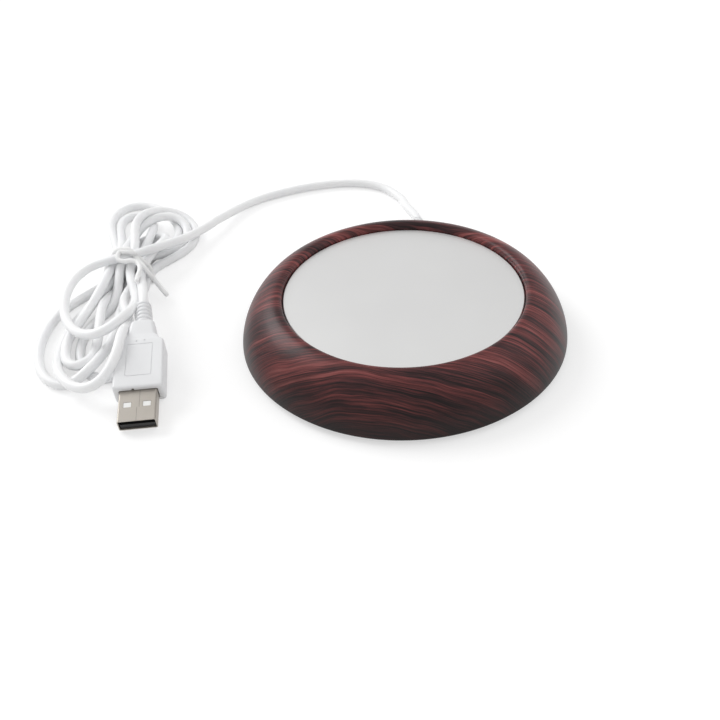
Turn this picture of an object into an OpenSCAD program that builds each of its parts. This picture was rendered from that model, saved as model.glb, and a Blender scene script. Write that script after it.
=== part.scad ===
// Electric mug warmer: a heated plate in a domed ring, fed by a tied-up cord with a plug.
// Millimetres, Z up. The origin is on the floor under the middle of the plate, and the
// cord leaves the ring towards +Y.

/* [Plate] */
// Diameter of the heating plate
plate_d = 80; // [64:0.5:96]
// Thickness of the heating plate
plate_t = 1.5; // [1:0.1:2.5]
// Gap between the plate's edge and the ring's bore
plate_gap = 0.35; // [0.25:0.05:0.8]
// Depth of the plate's face below the ring's crest
plate_drop = 2.1; // [1.6:0.1:4]
// Bevel on the plate's upper edge
plate_bevel = 0.25; // [0.1:0.05:0.5]

/* [Ring] */
// Height of the ring's crest above the floor
ring_h = 19.2; // [18.4:0.1:26]
// Radius of the round that leads from the crest down to the plate
rim_round = 1.95; // [1:0.05:3]
// Width from the crest out to the widest point
skirt_w = 12.6; // [11.5:0.1:18]
// Height of the widest point above the floor
belly_z = 2.2; // [1.9:0.1:3.5]
// Power of the dome's curve, where 1 is a circle's quarter and more is flatter
dome_power = 1.22; // [1:0.01:1.4]
// Width that the skirt tucks in below its widest point
tuck_w = 0.9; // [0.3:0.1:1.2]
// Thickness of the ring's wall
wall = 2.2; // [1.6:0.1:3]
// Width of the ledge under the plate's edge
ledge_w = 4.35; // [3:0.05:6]
// Thickness of the ledge
ledge_t = 2; // [1.2:0.1:3]
// Thickness of the seal under the plate
seal_t = 0.5; // [0.3:0.1:1]

/* [Heater] */
// Thickness of the heater film
film_t = 0.3; // [0.2:0.05:0.6]
// Thickness of the heater's metal trace
trace_t = 0.2; // [0.1:0.05:0.4]
// Width of the heater's trace
trace_w = 1.6; // [1:0.1:2.2]
// Step from one turn of the trace to the next
trace_step = 3; // [2.6:0.1:4]
// Thickness of the mica disc
mica_t = 0.6; // [0.3:0.1:1]
// Thickness of the insulation pad
pad_t = 3; // [2:0.1:3.4]
// Thickness of the clamp plate
clamp_t = 1; // [0.6:0.1:1.5]
// Room for the leads between the pad's edge and the film's edge
lead_way = 2.4; // [2:0.1:3]
// Diameter of the plate's screw bosses
boss_d = 6; // [5:0.1:7]
// Diameter of the clamp screws
clamp_screw_d = 3; // [2.5:0.1:3.5]

/* [Cut-out] */
// Length of the thermal cut-out
cutout_l = 20; // [16:0.5:22]
// Width of the thermal cut-out
cutout_w = 8; // [6:0.5:9]
// Thickness of the thermal cut-out
cutout_t = 3.4; // [2.4:0.1:4]
// Width of the cut-out's clip
clip_w = 6; // [4:0.5:8]
// Thickness of the cut-out's clip
clip_t = 0.5; // [0.3:0.1:0.8]
// Diameter of the clip's rivets
rivet_d = 2.4; // [2:0.1:3]

/* [Base] */
// Height of the base cover's face above the floor, the part of the feet that shows
stand_h = 0.8; // [0.5:0.1:1.1]
// Thickness of the base cover
cover_t = 2; // [1.6:0.1:2.6]
// Gap between the base cover's edge and the ring
cover_gap = 0.2; // [0.1:0.05:0.5]
// Diameter of the feet
foot_d = 12; // [8:0.5:14]
// Depth that the feet sink into the base cover
foot_sink = 1; // [0.5:0.1:1.2]
// Distance from the base cover's edge to a foot's centre
foot_inset = 11; // [10.5:0.5:16]
// Number of base screws
base_screws_n = 3; // [3:3:6]
// Diameter of the base screws
base_screw_d = 2.6; // [2.2:0.1:3]
// Length of the base screws
base_screw_l = 8; // [6:0.5:9]
// Wall round a base screw in its boss
base_boss_wall = 2.1; // [1.5:0.1:2.5]
// Distance from the ring's inner wall to a base screw
base_screw_inset = 6.2; // [5.8:0.1:7]

/* [Cord] */
// Diameter of the cord
cord_d = 3.4; // [3:0.1:3.8]
// Height of the cord's exit above the floor
exit_z = 6.5; // [6.2:0.1:7.5]
// Length of the bush's nose outside the ring
bush_nose = 8.6; // [5:0.1:9]
// Diameter of the bush's neck in the ring's wall
bush_neck_d = 6; // [5.5:0.1:6.4]
// Width that the bush's flange and collar stand out over its neck
bush_lip = 1.1; // [0.8:0.1:1.2]
// Diameter of a lead over its sleeve
lead_d = 1.4; // [1:0.1:1.6]
// Height of the tied-up cord
hank_h = 12; // [10:0.5:14]

/* [Plug] */
// Width of the plug's metal shell
shell_w = 12; // [12:0.1:12]
// Height of the plug's metal shell
shell_h = 4.5; // [4.5:0.1:4.5]
// Length of the metal shell outside the grip
shell_out = 11.9; // [11.5:0.1:12.5]
// Length of the metal shell inside the grip
shell_in = 6.8; // [5:0.1:8]
// Thickness of the metal shell's sheet
shell_t = 0.3; // [0.2:0.05:0.4]
// Width of the plug's grip
grip_w = 15.8; // [14.5:0.1:18]
// Thickness of the plug's grip
grip_t = 7.8; // [7:0.1:9]
// Length of the plug's grip, up to its neck
grip_l = 20; // [18:0.5:24]
// Length of the grip's neck
neck_l = 8; // [6:0.5:10]
// Width of the grip's neck
neck_w = 8.4; // [7.6:0.1:10]
// Thickness of the grip's neck
neck_t = 6.8; // [6.2:0.1:7]
// Length of the ribbed strain relief
relief_l = 10; // [8:0.5:14]
// Diameter of the strain relief where it leaves the neck
relief_d = 5.8; // [5.2:0.1:6]

/* [Hidden] */
$fn = 96;

eps = 0.01;         // overshoot of a cut past the face that it opens
slip = 0.1;         // clearance of a shank or pin in its hole
ease = 0.3;         // clearance of a loose part in its pocket
cut_over = 1;       // overshoot of a cut through a curved wall

// Ring and plate
plate_r = plate_d / 2;
bore_r = plate_r + plate_gap;
crest_r = bore_r + rim_round;
belly_r = crest_r + skirt_w;
ledge_r = bore_r - ledge_w;
plate_top = ring_h - plate_drop;
plate_z = plate_top - plate_t;
ledge_z = plate_z - seal_t;
collar_r = bore_r + wall - slip * 2;
inner_r = belly_r - wall;
lip_rise = 0.4;
lip_z = stand_h + lip_rise;
dome_steps = 20;
seal_inset = 0.2;
seal_skin = 0.05;
seal_lip_drop = 0.6;

// Heater stack, from the plate down
film_r = ledge_r - ease;
film_z = plate_z - film_t;
trace_z = film_z - trace_t;
mica_z = trace_z - mica_t;
pad_z = mica_z - pad_t;
clamp_z = pad_z - clamp_t;
pad_r = film_r - lead_way;
boss_edge = 1.2;
boss_pos_r = pad_r - boss_d / 2 - boss_edge;
boss_h = plate_z - pad_z;
boss_floor = 0.5;
trace_max_r = boss_pos_r - boss_d / 2 - slip - ease;
trace_min_r = 9;
trace_gap = 8;
link_lap = 0.3;
trace_turns = floor((trace_max_r - trace_min_r - trace_w) / trace_step / 2) * 2 + 2;
terminal_w = 2;
terminal_l = 1.4;
terminal_y = film_r - lead_way / 2;
terminal_x = (trace_gap + trace_w) / 2;
clamp_angles = [30, 150, 270];
clamp_head_r = clamp_screw_d / 2 + 1.2;
clamp_head_h = 1.6;
slot_w = 0.8;
slot_depth = 0.7;
slot_share = 0.6;

// Thermal cut-out, held against the mica by its clip
cutout_round = 0.8;
cutout_z = mica_z - cutout_t;
cutout_way = 5.2;
window_l = cutout_l + cutout_way;
window_w = cutout_w + 2 * ease;
clip_foot = 5;
clip_l = window_w + 2 * clip_foot;
clip_z = clamp_z - clip_t;
rivet_x = window_w / 2 + clip_foot / 2;
rivet_head_r = rivet_d / 2 + 0.8;
rivet_head_h = 0.7;

// Base
cover_z = stand_h;
cover_top = cover_z + cover_t;
cover_r = inner_r - cover_gap;
foot_pos_r = cover_r - foot_inset;
foot_hole_r = 1.6;
foot_barb_r = 2.2;
foot_barb_h = 1.4;
foot_bevel = 0.4;
base_screw_r = inner_r - base_screw_inset;
base_boss_r = base_screw_d / 2 + base_boss_wall;
base_head_r = base_screw_d / 2 + 1.3;
base_head_h = 1.3;
rib_r = 29.5;
rib_w = 1.4;
rib_h = 0.9;
tab_inset = 0.4;
label_r = 16;
label_t = 0.4;

// Cord inlet
cord_r = cord_d / 2;
lead_r = lead_d / 2;
neck_r = bush_neck_d / 2;
notch_r = neck_r + 2 * slip;
flange_t = 2;
flange_y = inner_r - 5;
collar_t = 1.6;
collar_y = belly_r + slip;
bush_end = collar_y + bush_nose;
bush_tip_r = cord_r + 0.8;
clamp_y = flange_y - 6.8;
clamp_l = 6;
clamp_bar_w = 21;
clamp_bar_t = 2.4;
clamp_hole_x = 7.6;
clamp_post_r = 2.6;
clamp_seat_z = exit_z + 0.6;
saddle_side = 1.6;
cable_screw_r = 1.2;
cable_head_r = 2.2;
cable_head_h = 1.4;
cable_screw_l = 5.5;
inlet_y = clamp_y - clamp_l / 2 - 1.2;

// Splices
sleeve_r = lead_r + 0.7;
sleeve_l = 12;
sleeve_x = 9;
sleeve_y = 12;
sleeve_z = cover_top + sleeve_r;
lead_gap = 0.5;
high_z = clamp_z - lead_r - lead_gap;

// Route of the cord from the bush to the tied-up cord, its points chosen by hand
run_points = [
    [0, bush_end, exit_z], [0, bush_end + 3, exit_z], [-1.8, 72.5, 5.6], [-4.6, 79.5, 4.2],
    [-8, 87.5, 2.7], [-11.6, 93.6, 1.9], [-16.2, 98.3, 1.8], [-22, 101.2, 1.8],
    [-28.4, 102.4, 1.8], [-36, 102, 1.8], [-44.4, 99.9, 1.8], [-52.6, 96.7, 1.8],
    [-60.6, 92.4, 1.8], [-67, 88, 1.9], [-72, 83, 2.2], [-76.4, 76.4, 3],
    [-80, 69.2, 4.2], [-82.8, 61, 5.8], [-84.3, 55.9, 7], [-85.3, 52.2, 7.8]];
run_face = [0.661, 0.751, 0];
// Tied-up cord: the tie's place and heading, and the round corners of its two lobes
tie_at = [-107, 30];
tie_turn = 15;
waist_w = 10;
waist_lift = 1.5;
waist_h = 9.4;
lobe_up = [[-108.8, 36.8, 5], [-117, 50, 5], [-116, 67, 6.5], [-104, 62, 5],
           [-86.2, 49, 3], [-91, 37, 3], [-96, 30, 4]];
lobe_low = [[-105.2, 23.2, 5], [-116, 0, 6], [-118, -19, 6.5], [-112, -28.5, 6.5],
            [-101, -32.5, 5.5], [-97.5, -26, 3], [-97, -4, 4]];
tie_w = 2.6;
tie_t = 0.9;
tie_wire_r = 0.7;
tie_end = [[-103.5, 29.6, hank_h + 1], [-98.5, 25.5, hank_h + 1], [-95, 22.2, hank_h - 1.5],
           [-91, 18.4, 6.5], [-88, 15.6, 3.4]];

// Plug: its lower front edge touches the floor and its tail is raised
plug_at = [-77.8, -53.6, 0.3];
plug_turn = 12;
plug_tilt = 11;
grip_y = shell_out;
neck_y = grip_y + grip_l;
relief_y = neck_y + neck_l;
plug_l = relief_y + relief_l;
grip_round = 1.6;
taper_l = 6;
taper_in = 0.4;
back_round = 2.2;
back_angle = 75;
shoulder_l = 3.2;
shoulder_in = 0.3;
shoulder_share = 0.4;
relief_tip_r = cord_r + 0.7;
relief_ribs = 4;
rib_groove = 0.45;
rib_share = [0.55, 0.65, 0.9];
shell_round = 0.5;
window_at = [3.05, 6.35];
window_size = [2.5, 2];
tongue_t = 1.8;
tongue_side = 0.25;
tongue_w = shell_w - 2 * shell_t - 2 * tongue_side;
tongue_front = 0.5;
contact_w = [1.6, 1.4, 1.4, 1.6];
contact_x = [-3.5, -1, 1, 3.5];
contact_t = 0.25;
contact_front = 1;
contact_back = 2;
contact_slip = slip / 4;
core_w = 10.4;
core_t = 4.4;
core_l = 9;
tail_start = [plug_point(plug_l), plug_point(plug_l + 3)];
tail_rest = [[-90.4, 1.8, 12], [-93, 5.8, 10.8], [-96.8, 11, 8.4]];
tail_face = [0.967, 0.255, 0];

// A point on the plug's axis, at a distance from its tip
function plug_point(y) = plug_at + plug_axis_lift() + y * plug_back();
function plug_back() = [-sin(plug_turn) * cos(plug_tilt), cos(plug_turn) * cos(plug_tilt), sin(plug_tilt)];
function plug_up() = [sin(plug_turn) * sin(plug_tilt), -cos(plug_turn) * sin(plug_tilt), cos(plug_tilt)];
function plug_axis_lift() = shell_h / 2 * plug_up();

// Quarter of a rounded hill from [r1, z0] up to [r0, z1]
function hill(r0, r1, z0, z1) = [for (i = [0:dome_steps]) let (t = 90 * i / dome_steps)
    [r0 + (r1 - r0) * pow(cos(t), dome_power), z0 + (z1 - z0) * pow(sin(t), dome_power)]];
// Points of an arc about [x, y] from angle a to angle b
function arc(x, y, r, a, b, n = 8) = [for (i = [0:n]) let (t = a + (b - a) * i / n)
    [x + r * cos(t), y + r * sin(t)]];
// Outline of a rectangle with round corners, centred on the origin
function rounded(w, h, r) = concat(
    arc(w / 2 - r, h / 2 - r, r, 0, 90), arc(r - w / 2, h / 2 - r, r, 90, 180),
    arc(r - w / 2, r - h / 2, r, 180, 270), arc(w / 2 - r, r - h / 2, r, 270, 360));
function backwards(list) = [for (i = [len(list) - 1:-1:0]) list[i]];

// Sweep of a round section along points: each ring's first side is carried on from the last
function unit(v) = v / norm(v);
function heading(p, i) = unit(p[min(i + 1, len(p) - 1)] - p[max(i - 1, 0)]);
function first_side(t) = unit(cross(t, abs(t[2]) < 0.9 ? [0, 0, 1] : [1, 0, 0]));
function ring_sides(p, i = 0, s = [0, 0, 0]) = i == len(p) ? [] :
    let (t = heading(p, i), n = i == 0 ? first_side(t) : unit(s - (s * t) * t))
    concat([n], ring_sides(p, i + 1, n));
// The last ring is cut along the face that it meets, whose normal is face
module sweep(points, r, sides = 8, face = [0, 0, 0]) {
    n = len(points);
    side = ring_sides(points);
    rings = [for (i = [0:n - 1]) let (t = heading(points, i), up = cross(t, side[i]))
        for (k = [0:sides - 1])
            let (a = 360 * k / sides, out = r * (cos(a) * side[i] + sin(a) * up),
                 slide = i < n - 1 || norm(face) == 0 ? 0 : -(out * face) / (t * face))
            points[i] + out + slide * t];
    walls = [for (i = [0:n - 2]) for (k = [0:sides - 1])
        let (a = i * sides, b = a + sides, j = (k + 1) % sides)
        each [[a + j, a + k, b + k], [a + j, b + k, b + j]]];
    ends = [[for (k = [0:sides - 1]) k], [for (k = [sides - 1:-1:0]) (n - 1) * sides + k]];
    polyhedron(rings, concat(walls, ends), convexity = 10);
}

module at_angles(angles, r) {
    for (a = angles) rotate([0, 0, a]) translate([r, 0, 0]) children();
}

// ---- ring ----
module ring_profile() {
    polygon(concat(
        [[inner_r, lip_z], [belly_r - tuck_w, lip_z]],
        hill(crest_r, belly_r, belly_z, ring_h),
        arc(crest_r, ring_h - rim_round, rim_round, 90, 180),
        [[bore_r, ledge_z], [ledge_r, ledge_z],
         [ledge_r, ledge_z - ledge_t], [collar_r, ledge_z - ledge_t]],
        backwards(hill(collar_r, inner_r, belly_z, ring_h - wall))));
}
module ring_envelope() {
    rotate_extrude() polygon(concat([[0, lip_z], [belly_r - tuck_w, lip_z]],
        hill(crest_r, belly_r, belly_z, ring_h), [[0, ring_h]]));
}
module along_y(y0) {
    translate([0, y0, exit_z]) rotate([-90, 0, 0]) children();
}
base_angles = [for (i = [0:base_screws_n - 1]) 30 + i * 360 / base_screws_n];
module top_shell() {
    color([0.3, 0.12, 0.11]) difference() {
        union() {
            rotate_extrude() ring_profile();
            intersection() {
                at_angles(base_angles, base_screw_r)
                    translate([0, 0, cover_top]) cylinder(r = base_boss_r, h = ring_h);
                difference() {
                    ring_envelope();
                    translate([0, 0, ledge_z - ledge_t]) cylinder(r = collar_r, h = ring_h);
                }
            }
        }
        at_angles(base_angles, base_screw_r) translate([0, 0, cover_top - eps])
            cylinder(r = base_screw_d / 2 + slip, h = base_screw_l);
        along_y(inner_r - wall) cylinder(r = notch_r, h = 3 * wall);
        translate([-notch_r, inner_r - wall, 0]) cube([2 * notch_r, 3 * wall, exit_z]);
    }
}
module plate_seal() {
    color([0.06, 0.06, 0.06]) rotate_extrude() polygon([
        [ledge_r + seal_inset, ledge_z], [bore_r - seal_skin, ledge_z],
        [bore_r - seal_skin, plate_top - seal_lip_drop], [plate_r + seal_skin, plate_top - seal_lip_drop],
        [plate_r + seal_skin, plate_z], [ledge_r + seal_inset, plate_z]]);
}

// ---- plate and heater ----
module heating_plate() {
    color([0.84, 0.84, 0.83]) difference() {
        union() {
            rotate_extrude() polygon([[0, plate_z], [plate_r, plate_z], [plate_r, plate_top - plate_bevel],
                [plate_r - plate_bevel, plate_top], [0, plate_top]]);
            at_angles(clamp_angles, boss_pos_r)
                translate([0, 0, pad_z]) cylinder(d = boss_d, h = boss_h + eps);
        }
        at_angles(clamp_angles, boss_pos_r) translate([0, 0, pad_z - eps])
            cylinder(r = clamp_screw_d / 2 + slip, h = boss_h - boss_floor);
    }
}
// A round sheet of the stack, with the plate's bosses passing through it
module stack_disc(z, t, r) {
    translate([0, 0, z]) difference() {
        cylinder(r = r, h = t);
        at_angles(clamp_angles, boss_pos_r)
            translate([0, 0, -eps]) cylinder(r = boss_d / 2 + slip, h = t + 2 * eps);
    }
}
module heater_film() {
    color([0.72, 0.38, 0.1]) stack_disc(film_z, film_t, film_r);
}
// Meander of open turns: the turns are linked left and right of the gap in turn, the
// outermost ends at one terminal and the innermost comes out through the gap
function turn_r(i) = trace_max_r - trace_w - i * trace_step;
module heater_trace() {
    last_r = turn_r(trace_turns - 1);
    color([0.62, 0.6, 0.56]) translate([0, 0, trace_z]) {
        difference() {
            for (i = [0:trace_turns - 1]) difference() {
                cylinder(r = turn_r(i) + trace_w, h = trace_t);
                translate([0, 0, -eps]) cylinder(r = turn_r(i), h = trace_t + 2 * eps);
            }
            translate([-trace_gap / 2, 0, -eps]) cube([trace_gap, plate_d, trace_t + 2 * eps]);
        }
        for (i = [0:trace_turns - 2])
            link_bar(turn_r(i + 1), turn_r(i) + trace_w - link_lap, i % 2 == 0 ? 1 : -1);
        link_bar(turn_r(0) + trace_w / 2, terminal_y, -1);
        translate([-terminal_x - terminal_w / 2, terminal_y - terminal_l / 2, 0])
            cube([terminal_w, terminal_l, trace_t]);
        translate([-trace_w / 2, last_r, 0]) cube([trace_w, terminal_y - last_r, trace_t]);
        translate([-trace_gap / 2 - link_lap, last_r, 0])
            cube([terminal_x + link_lap, trace_w, trace_t]);
        translate([-terminal_w / 2, terminal_y - terminal_l / 2, 0])
            cube([terminal_w, terminal_l, trace_t]);
    }
}
module link_bar(r0, r1, side) {
    translate([side * terminal_x - trace_w / 2, r0, 0]) cube([trace_w, r1 - r0, trace_t]);
}
module mica_disc() {
    color([0.8, 0.76, 0.62]) stack_disc(mica_z, mica_t, pad_r);
}
module window(z, t) {
    translate([-window_l / 2, -window_w / 2, z - eps]) cube([window_l, window_w, t + 2 * eps]);
}
module insulation_pad() {
    color([0.93, 0.92, 0.88]) difference() {
        stack_disc(pad_z, pad_t, pad_r);
        window(pad_z, pad_t);
    }
}
module clamp_plate() {
    color([0.66, 0.67, 0.69]) difference() {
        translate([0, 0, clamp_z]) cylinder(r = pad_r, h = clamp_t);
        window(clamp_z, clamp_t);
        at_angles(clamp_angles, boss_pos_r) translate([0, 0, clamp_z - eps])
            cylinder(r = clamp_screw_d / 2 + slip, h = clamp_t + 2 * eps);
        for (s = [-1, 1]) translate([0, s * rivet_x, clamp_z - eps])
            cylinder(r = rivet_d / 2 + slip, h = clamp_t + 2 * eps);
    }
}
module clamp_screws() {
    color([0.75, 0.75, 0.77]) at_angles(clamp_angles, boss_pos_r) difference() {
        union() {
            translate([0, 0, clamp_z - clamp_head_h]) cylinder(r = clamp_head_r, h = clamp_head_h);
            translate([0, 0, clamp_z - eps])
                cylinder(d = clamp_screw_d, h = clamp_t + boss_h - boss_floor - 2 * slip);
        }
        cross_slot(clamp_z - clamp_head_h, clamp_head_r);
    }
}
// Cross recess in a screw head whose face lies at z and looks down
module cross_slot(z, r) {
    for (a = [0, 90]) rotate([0, 0, a]) translate([-slot_share * r, -slot_w / 2, z - eps])
        cube([2 * slot_share * r, slot_w, slot_depth]);
}
module thermal_cutout() {
    color([0.8, 0.81, 0.83]) translate([0, 0, cutout_z]) rotate([90, 0, 90])
        translate([0, cutout_t / 2, -cutout_l / 2]) linear_extrude(cutout_l)
            polygon(rounded(cutout_w, cutout_t, cutout_round));
}
module cutout_clip() {
    top = cutout_z;
    foot_top = clamp_z;
    half = window_w / 2;
    bridge = cutout_w / 2 - cutout_round;
    color([0.7, 0.7, 0.72]) difference() {
        translate([-clip_w / 2, 0, 0]) rotate([90, 0, 90]) linear_extrude(clip_w) polygon([
            [-clip_l / 2, foot_top], [-half, foot_top], [-bridge, top],
            [bridge, top], [half, foot_top], [clip_l / 2, foot_top],
            [clip_l / 2, foot_top - clip_t], [half, foot_top - clip_t], [bridge, top - clip_t],
            [-bridge, top - clip_t], [-half, foot_top - clip_t], [-clip_l / 2, foot_top - clip_t]]);
        for (s = [-1, 1]) translate([0, s * rivet_x, clip_z - eps])
            cylinder(r = rivet_d / 2 + slip, h = clip_t + 2 * eps);
    }
}
module clip_rivets() {
    color([0.78, 0.78, 0.8]) for (s = [-1, 1]) translate([0, s * rivet_x, clip_z - rivet_head_h]) {
        cylinder(r = rivet_head_r, h = rivet_head_h);
        cylinder(d = rivet_d, h = rivet_head_h + clip_t + clamp_t);
    }
}

// ---- wiring ----
inlet_x = 0.85;
cutout_end = cutout_l / 2;
cutout_mid_z = cutout_z + cutout_t / 2;
// From the inlet down beside the cable clamp and on to a splice sleeve, its points chosen by hand
function splice_way(side) = [
    [side * inlet_x, inlet_y, exit_z], [side * inlet_x, inlet_y - 1, exit_z],
    [side * 1.4, inlet_y - 3.4, exit_z - 0.9], [side * 3.2, inlet_y - 6.6, sleeve_z + 0.7],
    [side * 6.4, sleeve_y + sleeve_l + 4, sleeve_z + 0.3],
    [side * sleeve_x, sleeve_y + sleeve_l + 1, sleeve_z], [side * sleeve_x, sleeve_y + sleeve_l, sleeve_z]];
module lead_red() {
    color([0.75, 0.06, 0.05]) sweep(splice_way(-1), lead_r);
}
module lead_black() {
    color([0.05, 0.05, 0.05]) sweep(splice_way(1), lead_r);
}
// The first stretch of a lead out of an end of the cut-out and past the clamp plate
function cutout_way(side) = [
    [side * cutout_end, 0, cutout_mid_z], [side * (cutout_end + 0.8), 0, cutout_mid_z],
    [side * (cutout_end + 1.4), 0, cutout_mid_z - 0.9], [side * (cutout_end + 1.5), 0.4, clamp_z - 0.6]];
// The last stretch of a lead up past the pad's edge to a terminal of the trace
function terminal_way(x) = [
    [x, terminal_y, high_z + 1.4], [x, terminal_y, trace_z - 1], [x, terminal_y, trace_z]];
module cutout_lead_in() {
    color([0.9, 0.9, 0.86]) sweep(concat(cutout_way(-1), [
        [-cutout_end - 1, 3, high_z - 1.6], [-sleeve_x - 0.4, 8, sleeve_z + 0.8],
        [-sleeve_x, sleeve_y - 1, sleeve_z], [-sleeve_x, sleeve_y, sleeve_z]]), lead_r);
}
module cutout_lead_out() {
    color([0.9, 0.9, 0.86]) sweep(concat(cutout_way(1), [
        [cutout_end, 4, high_z], [4, sleeve_y + 2, high_z], [-3, 26, high_z],
        [-terminal_x, terminal_y - 1.6, high_z]], terminal_way(-terminal_x)), lead_r);
}
module heater_lead() {
    color([0.9, 0.9, 0.86]) sweep(concat([
        [sleeve_x, sleeve_y, sleeve_z], [sleeve_x, sleeve_y - 1, sleeve_z],
        [sleeve_x + 2, sleeve_y - 4, sleeve_z + 0.6], [sleeve_x + 5.4, sleeve_y - 4.4, sleeve_z + 1.8],
        [sleeve_x + 7, sleeve_y, high_z - 1], [sleeve_x + 4, sleeve_y + 8, high_z],
        [8, 26, high_z], [1.6, terminal_y - 1.6, high_z]], terminal_way(0)), lead_r);
}
module splice_sleeves() {
    color([0.12, 0.12, 0.13]) for (s = [-1, 1])
        translate([s * sleeve_x, sleeve_y, sleeve_z])
            rotate([-90, 0, 0]) cylinder(r = sleeve_r, h = sleeve_l);
}

// ---- base ----
foot_angles = [45, 135, 225, 315];
module base_cover() {
    color([0.05, 0.05, 0.055]) difference() {
        union() {
            translate([0, 0, cover_z]) cylinder(r = cover_r, h = cover_t);
            translate([0, 0, cover_top - eps]) difference() {
                cylinder(r = rib_r + rib_w, h = rib_h + eps);
                translate([0, 0, -eps]) cylinder(r = rib_r, h = rib_h + 3 * eps);
            }
            translate([slip - notch_r, inner_r - wall, cover_z + foot_bevel])
                cube([2 * (notch_r - slip), 2 * wall - tab_inset, exit_z - cover_z - foot_bevel]);
            for (s = [-1, 1]) translate([s * clamp_hole_x, clamp_y, cover_top - eps])
                cylinder(r = clamp_post_r, h = clamp_seat_z - cover_top + eps);
            translate([-cord_r - saddle_side, clamp_y - clamp_l / 2, cover_top - eps])
                cube([cord_d + 2 * saddle_side, clamp_l, exit_z - cover_top + eps]);
        }
        along_y(inner_r - wall - cut_over) cylinder(r = neck_r + slip, h = 3 * wall + 2 * cut_over);
        along_y(flange_y - slip) cylinder(r = neck_r + bush_lip + slip, h = flange_t + 2 * slip);
        along_y(clamp_y - clamp_l) cylinder(r = cord_r + slip, h = 2 * clamp_l);
        for (s = [-1, 1]) translate([s * clamp_hole_x, clamp_y, clamp_seat_z - cable_screw_l + clamp_bar_t])
            cylinder(r = cable_screw_r + slip, h = cable_screw_l);
        at_angles(foot_angles, foot_pos_r) {
            translate([0, 0, cover_z - eps]) cylinder(r = foot_d / 2 + slip, h = foot_sink + eps);
            translate([0, 0, cover_z]) cylinder(r = foot_hole_r, h = cover_t + eps);
        }
        at_angles(base_angles, base_screw_r) {
            translate([0, 0, cover_z - eps]) cylinder(r = base_screw_d / 2 + slip, h = cover_t + 2 * eps);
            translate([0, 0, cover_z - eps])
                cylinder(r1 = base_head_r + slip, r2 = base_screw_d / 2 + slip, h = base_head_h);
        }
        translate([0, 0, cover_z - eps]) cylinder(r = label_r, h = label_t + eps);
    }
}
module base_screws() {
    color([0.7, 0.7, 0.72]) at_angles(base_angles, base_screw_r) difference() {
        union() {
            translate([0, 0, cover_z + slip / 2]) {
                cylinder(r1 = base_head_r, r2 = base_screw_d / 2, h = base_head_h);
                cylinder(d = base_screw_d, h = base_screw_l);
            }
        }
        cross_slot(cover_z + slip / 2, base_head_r);
    }
}
module foot(i) {
    color([0.16, 0.16, 0.17]) at_angles([foot_angles[i]], foot_pos_r) rotate_extrude() polygon([
        [0, 0], [foot_d / 2 - foot_bevel, 0], [foot_d / 2, foot_bevel], [foot_d / 2, cover_z + foot_sink],
        [foot_hole_r - slip, cover_z + foot_sink], [foot_hole_r - slip, cover_top],
        [foot_barb_r, cover_top], [foot_hole_r / 2, cover_top + foot_barb_h],
        [0, cover_top + foot_barb_h]]);
}
module cable_clamp() {
    color([0.1, 0.1, 0.11]) difference() {
        translate([-clamp_bar_w / 2, clamp_y - clamp_l / 2, clamp_seat_z])
            cube([clamp_bar_w, clamp_l, clamp_bar_t]);
        along_y(clamp_y - clamp_l) cylinder(r = cord_r + slip, h = 2 * clamp_l);
        for (s = [-1, 1]) translate([s * clamp_hole_x, clamp_y, clamp_seat_z - eps])
            cylinder(r = cable_screw_r + slip, h = clamp_bar_t + 2 * eps);
    }
}
module cable_clamp_screws() {
    color([0.75, 0.75, 0.77]) for (s = [-1, 1])
        translate([s * clamp_hole_x, clamp_y, clamp_seat_z + clamp_bar_t]) difference() {
            union() {
                cylinder(r = cable_head_r, h = cable_head_h);
                translate([0, 0, slip - cable_screw_l]) cylinder(r = cable_screw_r, h = cable_screw_l);
            }
            translate([0, 0, cable_head_h]) mirror([0, 0, 1]) cross_slot(0, cable_head_r);
        }
}

// ---- cord ----
module cord_bush() {
    lip_r = neck_r + bush_lip;
    color([0.9, 0.9, 0.9]) along_y(0) rotate_extrude() polygon([
        [cord_r + slip, flange_y], [lip_r, flange_y],
        [lip_r, flange_y + flange_t], [neck_r, flange_y + flange_t],
        [neck_r, collar_y], [lip_r, collar_y], [lip_r, collar_y + collar_t],
        [bush_tip_r, bush_end], [cord_r + slip, bush_end]]);
}
module cord_inlet() {
    color([0.92, 0.92, 0.92]) along_y(inlet_y) cylinder(r = cord_r, h = bush_end - inlet_y);
}
module cord_run() {
    color([0.93, 0.93, 0.93]) sweep(run_points, cord_r, face = run_face);
}
module lobe(corners) {
    linear_extrude(hank_h) hull() for (c = corners) translate([c[0], c[1]]) circle(r = c[2], $fn = 32);
}
module at_tie() {
    translate(tie_at) rotate([0, 0, tie_turn]) children();
}
module cord_hank() {
    cut_w = waist_w + 2 * tie_t + cut_over;
    color([0.9, 0.9, 0.91]) {
        difference() {
            union() {
                lobe(lobe_up);
                lobe(lobe_low);
            }
            at_tie() translate([-cut_w / 2, -tie_w / 2 - slip, -eps])
                cube([cut_w, tie_w + 2 * slip, hank_h + cut_over]);
        }
        at_tie() translate([-waist_w / 2, -waist_w / 2, waist_lift]) cube([waist_w, waist_w, waist_h]);
    }
}
module cord_tail() {
    color([0.93, 0.93, 0.93]) sweep(concat(tail_start, tail_rest), cord_r, face = tail_face);
}
module twist_tie() {
    loop_w = waist_w + 2 * tie_t + 2 * slip;
    loop_h = waist_h + 2 * tie_t + 2 * slip;
    color([0.88, 0.88, 0.88]) {
        at_tie() translate([0, 0, waist_lift - tie_t - slip]) difference() {
            translate([-loop_w / 2, -tie_w / 2, 0]) cube([loop_w, tie_w, loop_h]);
            translate([-waist_w / 2 - slip, -tie_w / 2 - eps, tie_t])
                cube([waist_w + 2 * slip, tie_w + 2 * eps, waist_h + 2 * slip]);
        }
        sweep(tie_end, tie_wire_r);
    }
}

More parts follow.
